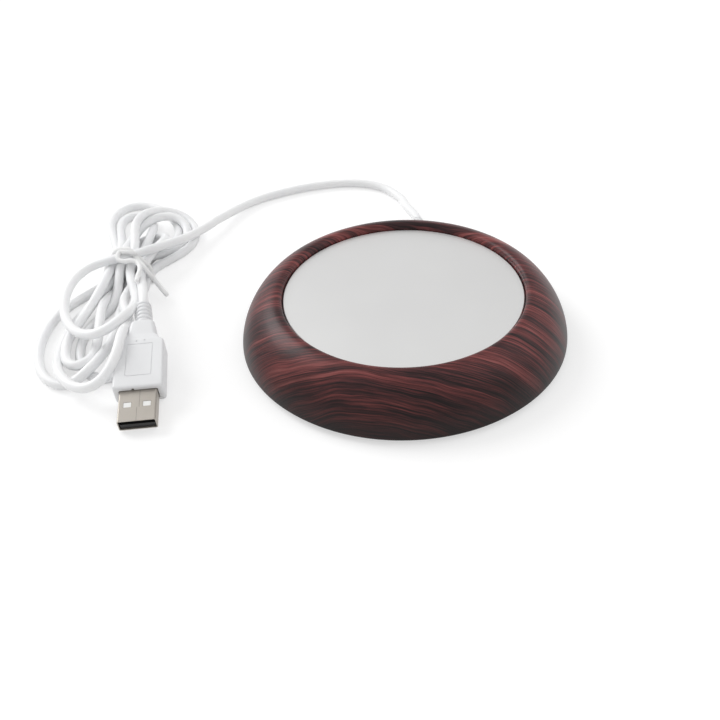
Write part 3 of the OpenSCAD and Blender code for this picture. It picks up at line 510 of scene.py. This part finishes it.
# What is cut into the grip: a gap round the metal shell, a fine line round a panel on top (half sizes of its
# inner and outer edge, floor and top), a notch above the shell and two pin marks.
gripCuts = dict(gapHalf=(6.22, 2.47), gapY=(10.0, 12.6), edge=0.5, columns=6,
                panelIn=(4.0, 6.5), panelOut=(4.22, 6.72), panelY=23.3, panelZ=(3.72, 5.0),
                pits=(dict(middle=(-1.5, 12.1), half=(0.4, 0.6), heights=(2.3, 3.2)),
                      dict(middle=(-1.2, 31.2), half=(0.32, 0.32), heights=(3.6, 5)),
                      dict(middle=(1.4, 31.4), half=(0.32, 0.32), heights=(3.6, 5))), pitEdge=0.32)
liner = dict(across=(-3.05, 3.05), y=6.35, half=(1.19, 0.94), heights=(1.2, 2.16), edge=0.15, columns=3)


def roundedSection(wide, high, edge, columns):
    # rectangle with round corners, as rings for arrays of half widths, half heights and corner radii
    a = np.radians(np.concatenate([np.linspace(q * 90, q * 90 + 90, columns) for q in range(4)]))
    sx = np.repeat([1, -1, -1, 1], columns)
    sz = np.repeat([1, 1, -1, -1], columns)
    e = np.minimum(edge, np.minimum(wide, high))
    x = sx * (wide - e)[:, None] + e[:, None] * np.cos(a)
    z = sz * (high - e)[:, None] + e[:, None] * np.sin(a)
    return x, z


def plugBlock(middle, half, heights, edge, columns):
    # upright block with round corners: its middle and half sizes across and along the plug
    x, y = roundedSection(np.full(2, half[0]), np.full(2, half[1]), np.full(2, edge), columns)
    return shell(plugPoint(y + middle[1], x + middle[0], np.array(heights)[:, None]))


def gripRows():
    # rows of distance, half width, half height and corner radius: body, shoulder, neck and ribbed relief
    g, rows = grip, []

    def bodyWidth(y):
        return np.interp(y, [g["front"], g["backStart"]], [g["wide"], g["wideBack"]])

    for a in np.linspace(0, np.pi / 2, 9):
        y, r = g["front"] + g["frontRound"] * (1 - math.cos(a)), g["frontRound"] * (1 - math.sin(a))
        rows.append([y, bodyWidth(y) - r, g["high"] - g["frontFlat"] * r, g["edge"]])
    rows += [[y, bodyWidth(y), g["high"], g["edge"]] for y in np.linspace(g["bodyStart"], g["backStart"], 8)]
    for a in np.linspace(*g["backTurn"], 9):
        r = g["backRound"] * (1 - math.cos(a))
        rows.append([g["backStart"] + g["backRound"] * math.sin(a), g["wideBack"] - r,
                     g["high"] - g["backFlat"] * r, g["edge"]])
    for share, y in zip(np.linspace(0, 1, 6), np.linspace(*g["shoulder"], 6)):
        s = share * share * (3 - 2 * share)
        rows.append([y, g["neck"][0] + g["shoulderOut"] * (1 - s), g["neckHigh"] + g["shoulderUp"] * (1 - s),
                     g["edge"] + g["shoulderEdge"] * s])
    end = g["neckEnd"]
    rows += [[y, np.interp(y, [g["shoulder"][1], end], g["neck"]), g["neckHigh"], g["neckEdge"]]
             for y in (*g["neckRows"], end - g["neckLast"])]
    for t in np.linspace(0, np.pi / 2, 6):
        d = g["neckRound"] * (1 - math.cos(t))
        rows.append([end - g["neckRound"] + g["neckRound"] * math.sin(t), g["neck"][1] - d,
                     g["neckHigh"] - d, g["neckEdge"]])
    step = (plug["length"] - end) / (g["ribs"] + g["plainPart"])
    for i in range(g["ribs"]):
        y = end + i * step
        radii = np.interp([y, y + step], [end, plug["length"]], [g["reliefD"] / 2, g["reliefTip"]])
        rows += [[y + share * step] + [radii[k] - less] * 3 for k, less, share in g["ribRows"]]
    tip = g["reliefTip"]
    rows += [[plug["length"] - g["tipPart"] * step, tip, tip, tip],
             [plug["length"] - g["tipBevel"], tip, tip, tip],
             [plug["length"], tip - g["tipBevel"], tip - g["tipBevel"], tip - g["tipBevel"]]]
    return np.array(rows)


def makeGrip():
    g, c = grip, gripCuts
    y, wide, high, edge = gripRows().T
    x, z = roundedSection(wide, high, edge, g["columns"])
    # the relief leans a little to its left
    x = x - g["lean"] * np.maximum(y - g["neckEnd"], 0)[:, None] ** 2
    piece = meshPiece("plugGrip", [shell(plugPoint(y[:, None], x, z))], g["sharp"])
    x, z = roundedSection(np.full(2, c["gapHalf"][0]), np.full(2, c["gapHalf"][1]), np.full(2, c["edge"]),
                          c["columns"])
    gap = shell(plugPoint(np.array(c["gapY"])[:, None], x, z))
    (x0, y0), (x1, y1), (low, high) = c["panelIn"], c["panelOut"], c["panelZ"]
    x, y = roundedSection(np.array([x0, x1, x1, x0]), np.array([y0, y1, y1, y0]), np.full(4, c["edge"]),
                          c["columns"])
    z = np.array([low, low, high, high])[:, None]
    panel = shell(plugPoint(y + c["panelY"], x, z), closedRows=True)
    pits = [plugBlock(edge=c["pitEdge"], columns=c["columns"], **pit) for pit in c["pits"]]
    for cut in [gap, panel] + pits:
        cutWith(piece, meshPiece("cutter", [cut], cutterSharp))
    piece.data.set_sharp_from_angle(angle=math.radians(g["sharp"]))
    return piece


def makeLiners():
    # white lining that fills the shell's two windows to just under the metal
    n = liner
    return meshPiece("windowLining", [plugBlock((x, n["y"]), n["half"], n["heights"], n["edge"], n["columns"])
                                      for x in n["across"]], cutterSharp)


gripPiece, linerPiece = makeGrip(), makeLiners()
print("plug made")

# turns: first and last angle, and how many points; start and pitch: where they lie along the tied-up cord
wire = dict(radius=0.85, planes=(24.8, 26, 27.2), across=(-116, -95), start=27, pitch=-1.85,
            turns=(72, 462, 391), turnStep=1.2, step=0.3, tip=0.06, columns=12,
            lead=[[-87.5, 14.4, 2.5], [-90.7, 17.4, 3.9], [-93.6, 20, 5.6], [-95.1, 20.2, 8],
                  [-96.8, 21, 10.2], [-99.2, 23.2, 11.2], [-101.6, 25.6, 12.7]],
            knot=[[-106.8, 24.5, 13.9], [-107.1, 23, 13.5], [-106.1, 21.5, 12.8], [-104, 20.9, 12.6],
                  [-101.6, 21.2, 12.9], [-99.2, 20.8, 12.6], [-97.6, 18.8, 12.2], [-96.6, 15.4, 12.2],
                  [-95.9, 10.9, 12.7], [-94.6, 6.9, 13.7]])


def makeTie():
    # The wire's turns follow the outline of the bundle where the strands cross a few planes: in each
    # direction u, the strand that lies furthest out, plus both radii along u. One end leads in over the
    # right strands and the other curls round on top.
    w = wire
    ahead, behind = cordPath[1:], cordPath[:-1]
    cut = np.any([(ahead[:, 1] - y) * (behind[:, 1] - y) <= 0 for y in w["planes"]], axis=0)
    cut &= (behind[:, 0] > w["across"][0]) & (behind[:, 0] < w["across"][1])
    strands = ((ahead + behind) / 2)[cut][:, [0, 2]]
    a = np.radians(np.linspace(*w["turns"]))
    u = np.stack([np.cos(a), np.sin(a)], 1)
    furthest = strands[(u @ strands.T).argmax(1)]
    out = furthest + (cord["diameter"] / 2 + w["radius"]) * u
    share = np.abs(a - a[0]) / (2 * np.pi)
    turns = np.stack([out[:, 0], w["start"] + share * w["pitch"], np.maximum(out[:, 1], w["radius"])], 1)
    turns = evenly(turns, w["turnStep"])
    path = alongCurve(np.concatenate([np.array(w["lead"]), turns[1:-1], np.array(w["knot"])]), 6)
    path = evenly(path, w["step"])
    # round ends: the radius follows a circle over the last stretch
    count = np.arange(len(path))
    way = w["step"] * np.minimum(count, count[::-1]) + w["tip"]
    radii = w["radius"] * np.sqrt(1 - np.clip(1 - way / w["radius"], 0, 1) ** 2)
    return meshPiece("wireTie", [shell(tubeGrid(path, radii, w["columns"]))], 0)


tiePiece = makeTie()
print("tie made")


class Paint:
    # one node material with a Principled shader; add() makes a node and joins what it is given
    def __init__(self, name, **sockets):
        self.material = bpy.data.materials.new(name)
        self.material.use_nodes = True
        self.nodes = self.material.node_tree.nodes
        self.links = self.material.node_tree.links
        self.shader = self.nodes["Principled BSDF"]
        self.set(self.shader, sockets)
        self.place = self.add("TexCoord").outputs["Object"]

    def set(self, node, sockets):
        for key, value in sockets.items():
            socket = node.inputs[key] if isinstance(key, int) else node.inputs[key.replace("_", " ")]
            if isinstance(value, bpy.types.NodeSocket):
                self.links.new(value, socket)
            else:
                socket.default_value = value

    def add(self, kind, settings=None, **sockets):
        node = self.nodes.new("ShaderNode" + kind)
        for key, value in (settings or {}).items():
            setattr(node, key, value)
        self.set(node, sockets)
        return node

    def mapped(self, scale, turn=0, place=None):
        node = self.add("Mapping", Vector=place or self.place, Scale=scale,
                        Rotation=(0, 0, math.radians(turn)))
        return node.outputs["Vector"]

    def noise(self, place, scale, detail=2, rough=0.5):
        node = self.add("TexNoise", Vector=place, Scale=scale, Detail=detail, Roughness=rough)
        return node.outputs["Factor"] if "Factor" in node.outputs else node.outputs["Fac"]

    def math(self, operation, a, b=0.0):
        node = self.add("Math", dict(operation=operation))
        self.set(node, {0: a, 1: b})
        return node.outputs[0]

    def scaled(self, value, times, plus):
        # value * times + plus
        return self.math("ADD", self.math("MULTIPLY", value, times), plus)

    def ranged(self, value, low, high, first, last):
        # low becomes first, high becomes last, and what lies outside is held at these
        node = self.add("MapRange", Value=value, From_Min=low, From_Max=high, To_Min=first, To_Max=last)
        return node.outputs["Result"]

    def ramp(self, factor, stops):
        node = self.add("ValToRGB", Fac=factor)
        band = node.color_ramp
        while len(band.elements) < len(stops):
            band.elements.new(0.5)
        for element, (at, colour) in zip(band.elements, stops):
            element.position, element.color = at, (*colour, 1)
        return node.outputs["Color"]

    def dimmed(self, colour, level):
        node = self.add("VectorMath", dict(operation="MULTIPLY"))
        self.set(node, {0: colour, 1: level})
        return node.outputs[0]

    def bump(self, height, strength, depth):
        node = self.add("Bump", Height=height, Strength=strength, Distance=depth)
        self.set(self.shader, dict(Normal=node.outputs["Normal"]))


# Noises drawn out along the streaks: scale along and across, detail, roughness. Pairs: factor and addend.
streakPrint = dict(
    rise=(-5.0, 0.35), slope=(2.2, 0.07),
    waves=((26, 2, 0.008), (110, 1, 0.0010)), flat=0.4,         # scale, detail, shift of the streaks; along z
    bands=(10, 190, 2, 0.5), streaks=(26, 800, 4, 0.66), hair=(75, 1800, 3, 0.7), shares=(0.34, 0.36, 0.30),
    colours=[(0.405, (0.022, 0.011, 0.012)), (0.46, (0.060, 0.022, 0.024)), (0.505, (0.140, 0.038, 0.039)),
             (0.55, (0.245, 0.060, 0.058)), (0.61, (0.360, 0.110, 0.102))],
    # the fine lines are print; the range after them is painted shade, darker towards the bottom edge
    lines=(45, 2300, 2, 0.6), lineRange=(0.40, 0.52, 0.48, 1.0), paintedLowShade=(0.0012, 0.018, 0.05, 1.0),
    # painted light: the sides lighter than the middle of the front and back
    sides=(135, 0.73), specular=0.26, gloss=(0.14, 0.32), bump=(0.2, 0.00006))


def ringPrint():
    # Dark print of long streaks. They run along x and follow v = y + z (0.35 - 5 y) + x (0.07 + 2.2 x), bent
    # by broad waves. Three noises drawn out along them (bands, streaks, hairlines) are added up and coloured.
    s = streakPrint
    p = Paint("ringPrint", Specular_IOR_Level=s["specular"])
    xyz = p.add("SeparateXYZ", Vector=p.place).outputs
    v = p.math("ADD", xyz["Y"], p.math("MULTIPLY", xyz["Z"], p.scaled(xyz["Y"], *s["rise"])))
    v = p.math("ADD", v, p.math("MULTIPLY", xyz["X"], p.scaled(xyz["X"], *s["slope"])))
    for scale, detail, shift in s["waves"]:
        wave = p.noise(p.mapped((1, 1, s["flat"])), scale, detail)
        v = p.math("ADD", v, p.math("MULTIPLY", p.math("SUBTRACT", wave, 0.5), shift))
    flow = p.add("CombineXYZ", X=xyz["X"], Y=v, Z=0.0).outputs[0]

    def drawnOut(along, across, detail, rough):
        return p.noise(p.mapped((along, across, 1), 0, flow), 1.0, detail, rough)

    bands, streaks, hair = drawnOut(*s["bands"]), drawnOut(*s["streaks"]), drawnOut(*s["hair"])
    parts = [p.math("MULTIPLY", part, share) for part, share in zip((bands, streaks, hair), s["shares"])]
    colour = p.ramp(p.math("ADD", p.math("ADD", parts[0], parts[1]), parts[2]), s["colours"])
    # darkened along the print's fine lines, by painted shade towards the bottom edge, and by painted light
    # that keeps the middle of the front and back darker than the sides
    lines = p.ranged(drawnOut(*s["lines"]), *s["lineRange"])
    # painted light: lighter towards the left and right sides, darker in the middle of the front and back
    sides = p.scaled(p.math("MULTIPLY", xyz["X"], xyz["X"]), *s["sides"])
    level = p.math("MULTIPLY", p.math("MULTIPLY", lines, sides), p.ranged(xyz["Z"], *s["paintedLowShade"]))
    p.set(p.shader, dict(Base_Color=p.dimmed(colour, level), Roughness=p.scaled(streaks, *s["gloss"])))
    p.bump(hair, *s["bump"])
    return p.material


plateLook = dict(colour=(0.92, 0.92, 0.915, 1), brush=(40, 2600, 40), turn=20, cloud=40.0,
                 gloss=(0.08, 0.40), bump=(0.06, 0.00002))


def plateMetal():
    # satin metal with a fine grain in one direction
    s = plateLook
    p = Paint("plateMetal", Base_Color=s["colour"], Metallic=1.0)
    fineGrain = p.noise(p.mapped(s["brush"], s["turn"]), 1.0, 2, 0.6)
    p.set(p.shader, dict(Roughness=p.scaled(p.noise(p.place, s["cloud"], 2), *s["gloss"])))
    p.bump(fineGrain, *s["bump"])
    return p.material


# slow mottling of plastics and metals: scale, shades of the colour, how far the gloss goes up and down
plasticClouds = dict(scale=60.0, detail=3, dark=0.95, pale=1.04, gloss=0.06)
metalClouds = dict(scale=90.0, detail=2, dark=0.93, gloss=0.07, bump=(0.1, 0.00002))
cloudEnds = (0.3, 0.7)


def moulded(name, colour, roughness=0.45, grain=0.3, grainSize=2500, depth=0.00004, **more):
    # moulded plastic or rubber: faint mottling of colour and gloss, and a fine grain
    p, s = Paint(name, Roughness=roughness, **more), plasticClouds
    cloud = p.noise(p.place, s["scale"], s["detail"])
    shades = [tuple(c * s["dark"] for c in colour), tuple(min(1, c * s["pale"]) for c in colour)]
    p.set(p.shader, dict(Base_Color=p.ramp(cloud, list(zip(cloudEnds, shades))),
                         Roughness=p.scaled(cloud, 2 * s["gloss"], roughness - s["gloss"])))
    p.bump(p.noise(p.place, grainSize, 2), grain, depth)
    return p.material


# thin dark line along the top of the metal shell, stepped to the side once; metres, and factor and addend
shellSeam = dict(stepAt=0.0052, step=0.0007, half=0.00009, level=(0.35, 0.65))


def withSeam(p, base):
    inPlace = p.add("Mapping", dict(vector_type="TEXTURE"), Vector=p.place, Location=tuple(plugAxis * mm),
                    Rotation=(tiltAngle, 0, turnAngle))
    xyz = p.add("SeparateXYZ", Vector=inPlace.outputs[0]).outputs
    stepped = p.math("MULTIPLY", p.math("GREATER_THAN", xyz["Y"], shellSeam["stepAt"]), shellSeam["step"])
    off = p.math("ABSOLUTE", p.math("SUBTRACT", xyz["X"], stepped))
    clear = p.math("MAXIMUM", p.math("GREATER_THAN", off, shellSeam["half"]),
                   p.math("LESS_THAN", xyz["Z"], 0.0))
    return p.dimmed(base, p.scaled(clear, *shellSeam["level"]))


def metal(name, colour, roughness=0.3, brush=(60, 1800, 60), turn=0, seam=False):
    # metal with fine brush lines and slightly uneven gloss
    p, s = Paint(name, Metallic=1.0), metalClouds
    lines = p.noise(p.mapped(brush, turn), 1.0, 2, 0.6)
    cloud = p.noise(p.place, s["scale"], s["detail"])
    base = p.ramp(cloud, list(zip(cloudEnds, (tuple(c * s["dark"] for c in colour), colour))))
    p.set(p.shader, dict(Base_Color=withSeam(p, base) if seam else base,
                         Roughness=p.scaled(lines, 2 * s["gloss"], roughness - s["gloss"])))
    p.bump(lines, *s["bump"])
    return p.material


finishes = dict(
    ringPrint=ringPrint(), plateMetal=plateMetal(),
    cordWhite=moulded("cordWhite", (0.92, 0.925, 0.935), 0.42, 0.15, 1800, Subsurface_Weight=0.6,
                      Subsurface_Radius=(1, 1, 1), Subsurface_Scale=0.0016),
    plugWhite=moulded("plugWhite", (0.84, 0.845, 0.855), 0.40, 0.25, 3000),
    tieWhite=moulded("tieWhite", (0.93, 0.93, 0.925), 0.5, 0.2, Subsurface_Weight=0.5,
                     Subsurface_Radius=(1, 1, 1), Subsurface_Scale=0.001),
    rubberBlack=moulded("rubberBlack", (0.018, 0.018, 0.019), 0.6, 0.4),
    footRubber=moulded("footRubber", (0.028, 0.028, 0.030), 0.75, 0.5, 1600),
    baseBlack=moulded("baseBlack", (0.014, 0.014, 0.016), 0.5, 0.5, 1400, 0.00006),
    clampBlack=moulded("clampBlack", (0.02, 0.02, 0.022), 0.45),
    tongueBlack=moulded("tongueBlack", (0.012, 0.012, 0.012), 0.4),
    coreWhite=moulded("coreWhite", (0.92, 0.92, 0.90), 0.5),
    plugNickel=metal("plugNickel", (0.50, 0.466, 0.422), 0.50, (900, 40, 40), 12, seam=True),
    contactGold=metal("contactGold", (0.83, 0.62, 0.27), 0.22),
    screwSteel=metal("screwSteel", (0.56, 0.56, 0.57), 0.28),
    clampSteel=metal("clampSteel", (0.50, 0.50, 0.51), 0.36),
    traceMetal=metal("traceMetal", (0.62, 0.55, 0.45), 0.35),
    filmAmber=moulded("filmAmber", (0.42, 0.20, 0.05), 0.3),
    mica=moulded("mica", (0.52, 0.46, 0.34), 0.35, 0.6, 500, 0.0001),
    padFibre=moulded("padFibre", (0.70, 0.69, 0.65), 0.9, 0.8, 900, 0.0002),
    cutoutCase=moulded("cutoutCase", (0.05, 0.05, 0.05), 0.5),
    leadRed=moulded("leadRed", (0.42, 0.02, 0.02), 0.4),
    leadBlack=moulded("leadBlack", (0.02, 0.02, 0.02), 0.4),
    leadWhite=moulded("leadWhite", (0.7, 0.7, 0.68), 0.4),
    sleeveBlack=moulded("sleeveBlack", (0.02, 0.02, 0.02), 0.7))

nodeFinishes = dict(
    top_shell="ringPrint", plate_seal="rubberBlack", heating_plate="plateMetal", heater_film="filmAmber",
    heater_trace="traceMetal", mica_disc="mica", insulation_pad="padFibre", clamp_plate="clampSteel",
    clamp_screws="screwSteel", thermal_cutout="cutoutCase", cutout_clip="clampSteel",
    clip_rivets="screwSteel", lead_red="leadRed", lead_black="leadBlack", cutout_lead_in="leadWhite",
    cutout_lead_out="leadWhite", heater_lead="leadWhite", splice_sleeves="sleeveBlack",
    base_cover="baseBlack", base_screws="screwSteel", foot_1="footRubber", foot_2="footRubber",
    foot_3="footRubber", foot_4="footRubber", cable_clamp="clampBlack", cable_clamp_screws="screwSteel",
    cord_bush="cordWhite", cord_inlet="cordWhite", cord_run="cordWhite", cord_hank="cordWhite",
    cord_tail="cordWhite", twist_tie="tieWhite", plug_body="plugWhite", plug_core="coreWhite",
    plug_shell="plugNickel", plug_tongue="tongueBlack", plug_contacts="contactGold")

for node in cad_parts:
    for materialSlot in bpy.data.objects[node].material_slots:
        materialSlot.material = finishes[nodeFinishes[node]]
print("materials made")

for piece, name, slotName, replaced in (
        (ringPiece, "ringPrint", "ring_print", ["top_shell"]),
        (bushPiece, "cordWhite", "cord_white", ["cord_bush"]),
        (cordPiece, "cordWhite", "cord_white", ["cord_run", "cord_hank", "cord_tail"]),
        (tiePiece, "tieWhite", "tie_white", ["twist_tie"]),
        (gripPiece, "plugWhite", "plug_white", ["plug_body"]),
        (linerPiece, "coreWhite", "plug_core", [])):
    piece.data.materials.clear()
    piece.data.materials.append(finishes[name])
    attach(piece, "root")
    if replaced:
        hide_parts(*replaced)

print("pieces joined to the frame")


def rayShare(nodes, links, *kinds):
    # 1 where the ray is one of the kinds, otherwise 0
    path, share = nodes.new("ShaderNodeLightPath"), None
    for kind in kinds:
        if share is None:
            share = path.outputs[kind]
            continue
        most = nodes.new("ShaderNodeMath")
        most.operation = "MAXIMUM"
        links.new(share, most.inputs[0])
        links.new(path.outputs[kind], most.inputs[1])
        share = most.outputs[0]
    return share


# half width and height of the floor in metres, how white it is as it lights the rest and as it is seen, and
# its glow; the world's level for the camera and for the rest; suns with their direction and width in degrees
floorLook = dict(half=6, z=-0.00005, lit=0.9, thin=0.56, glow=0.53)
worldLook = dict(rest=0.64, seen=1.0)
suns = dict(keyLight=dict(strength=1.5, azimuth=-118, height=35, size=35),
            fillLight=dict(strength=0.4, azimuth=105, height=40, size=60))


def makeFloor():
    # white floor: lit like any white surface, but seen and mirrored partly by a glow of its own, so that it
    # shows white and keeps a light shadow
    f = floorLook
    mesh = bpy.data.meshes.new("floor")
    corners = [(x * f["half"], y * f["half"], f["z"]) for x, y in ((-1, -1), (1, -1), (1, 1), (-1, 1))]
    mesh.from_pydata(corners, [], [(0, 1, 2, 3)])
    floor = bpy.data.objects.new("floor", mesh)
    bpy.context.collection.objects.link(floor)
    white = bpy.data.materials.new("floorWhite")
    white.use_nodes = True
    nodes, links = white.node_tree.nodes, white.node_tree.links
    nodes.clear()
    out, both = nodes.new("ShaderNodeOutputMaterial"), nodes.new("ShaderNodeMixShader")
    lit, seen = nodes.new("ShaderNodeBsdfDiffuse"), nodes.new("ShaderNodeAddShader")
    thin, glow = nodes.new("ShaderNodeBsdfDiffuse"), nodes.new("ShaderNodeEmission")
    lit.inputs["Color"].default_value = (f["lit"], f["lit"], f["lit"], 1)
    thin.inputs["Color"].default_value = (f["thin"], f["thin"], f["thin"], 1)
    glow.inputs["Strength"].default_value = f["glow"]
    links.new(thin.outputs[0], seen.inputs[0])
    links.new(glow.outputs[0], seen.inputs[1])
    links.new(rayShare(nodes, links, "Is Camera Ray", "Is Glossy Ray", "Is Transmission Ray"), both.inputs[0])
    links.new(lit.outputs[0], both.inputs[1])
    links.new(seen.outputs[0], both.inputs[2])
    links.new(both.outputs[0], out.inputs["Surface"])
    mesh.materials.append(white)


def makeWorld():
    # plain white all round, brighter where the camera sees it
    world = bpy.data.worlds.new("studio")
    world.use_nodes = True
    bpy.context.scene.world = world
    nodes, links = world.node_tree.nodes, world.node_tree.links
    level = nodes.new("ShaderNodeMapRange")
    level.inputs["To Min"].default_value = worldLook["rest"]
    level.inputs["To Max"].default_value = worldLook["seen"]
    links.new(rayShare(nodes, links, "Is Camera Ray"), level.inputs["Value"])
    links.new(level.outputs["Result"], nodes["Background"].inputs["Strength"])
    nodes["Background"].inputs["Color"].default_value = (1, 1, 1, 1)


def makeSun(name, strength, azimuth, height, size):
    # a soft sun from an azimuth (0 from the front, 90 from the right) and a height above the floor
    data = bpy.data.lights.new(name, "SUN")
    data.energy, data.angle = strength, math.radians(size)
    lamp = bpy.data.objects.new(name, data)
    bpy.context.collection.objects.link(lamp)
    a, h = math.radians(azimuth), math.radians(height)
    towards = Vector((math.sin(a) * math.cos(h), -math.cos(a) * math.cos(h), math.sin(h)))
    lamp.rotation_euler = towards.to_track_quat("Z", "Y").to_euler()


makeFloor()
makeWorld()
for name, sun in suns.items():
    makeSun(name, **sun)

bpy.context.scene.view_settings.view_transform = "Standard"
print("scene lit")
